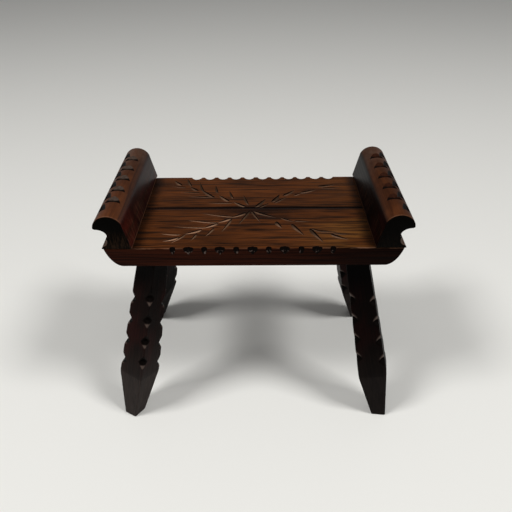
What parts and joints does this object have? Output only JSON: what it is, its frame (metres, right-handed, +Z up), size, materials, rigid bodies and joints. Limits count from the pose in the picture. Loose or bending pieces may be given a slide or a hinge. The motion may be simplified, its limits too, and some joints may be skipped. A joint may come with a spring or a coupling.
{
  "type": "carved stool",
  "caption": "Low bench stool of dark-stained pine: plank seat with an outward-scrolled rail across each end and splayed square legs with notched corners and tapered feet.",
  "frame": {"origin": "on the floor, under the middle of the seat", "axes": "+X to the right along the planks, +Y to the rear, +Z up; the front faces -Y"},
  "size_m": [0.581, 0.3764, 0.4895],
  "materials": {
    "seat_pine": "semi-gloss",
    "rail_pine": "semi-gloss",
    "leg_pine": "semi-gloss",
    "peg_beech": "matte",
    "screw_steel": "satin"
  },
  "bodies": {
    "root": {"seat_plank_front": "seat_pine", "seat_plank_rear": "seat_pine", "rail_left": "rail_pine", "rail_right": "rail_pine", "leg_front_left": "leg_pine", "leg_front_right": "leg_pine", "leg_rear_left": "leg_pine", "leg_rear_right": "leg_pine", "tenon_wedge_front_left": "peg_beech", "tenon_wedge_front_right": "peg_beech", "tenon_wedge_rear_left": "peg_beech", "tenon_wedge_rear_right": "peg_beech", "seat_dowel_1": "peg_beech", "seat_dowel_2": "peg_beech", "seat_dowel_3": "peg_beech", "seat_dowel_4": "peg_beech", "rail_screw_left_1": "screw_steel", "rail_screw_left_2": "screw_steel", "rail_screw_left_3": "screw_steel", "rail_screw_left_4": "screw_steel", "rail_screw_right_1": "screw_steel", "rail_screw_right_2": "screw_steel", "rail_screw_right_3": "screw_steel", "rail_screw_right_4": "screw_steel"}
  },
  "joints": []
}
